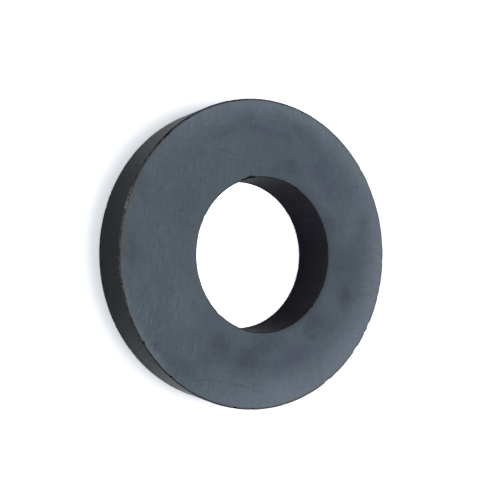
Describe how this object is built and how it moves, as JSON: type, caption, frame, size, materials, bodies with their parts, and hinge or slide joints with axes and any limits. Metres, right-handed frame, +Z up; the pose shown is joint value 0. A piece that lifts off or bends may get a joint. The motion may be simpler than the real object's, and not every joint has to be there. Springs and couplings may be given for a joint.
{
  "type": "ferrite ring magnet",
  "caption": "Flat sintered ferrite ring magnet with a plain round bore, ground parallel faces and lightly chipped rims.",
  "frame": {"origin": "centre of the bore on the bottom face, which is the face it rests on", "axes": "+Z up the bore, square to both ground faces; the top face carries the chipped rims; +X and +Y lie in the bottom face"},
  "size_m": [0.06, 0.06, 0.0103],
  "materials": {
    "ferrite": "dark blue-grey sintered ferrite: faces ground to a dull sheen with fine arced wheel marks, walls left matt and darker as sintered"
  },
  "bodies": {
    "root": {"ring_magnet": "ferrite"}
  },
  "joints": []
}
